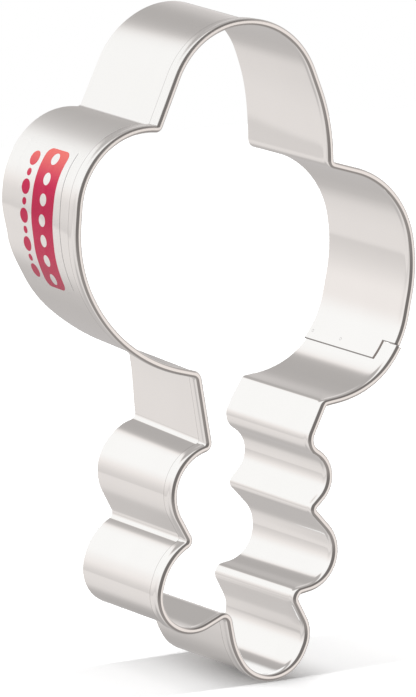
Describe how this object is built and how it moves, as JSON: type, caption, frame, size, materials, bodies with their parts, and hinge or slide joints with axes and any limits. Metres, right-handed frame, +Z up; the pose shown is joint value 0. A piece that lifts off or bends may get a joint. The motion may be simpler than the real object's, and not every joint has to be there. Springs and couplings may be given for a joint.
{
  "type": "cookie cutter",
  "caption": "Deep cookie cutter bent from one stainless strip, with a folded safe rim, a plain cutting edge and a spot-welded lap; lobed head over a scalloped stem.",
  "frame": {"origin": "bottom centre of the bounding box, on the plane of the cutting edge", "axes": "+Z up from the cutting edge to the folded rim, +Y from the scalloped stem to the lobed head, +X to the right seen from the rim"},
  "size_m": [0.0562, 0.0959, 0.022],
  "materials": {
    "stainless": "bright rolled stainless sheet",
    "weld_metal": "dull fused metal",
    "clear_film": "glossy clear film"
  },
  "bodies": {
    "root": {"blade_strip": "stainless", "spot_weld_lower": "weld_metal", "spot_weld_upper": "weld_metal", "clear_label": "clear_film"}
  },
  "joints": []
}
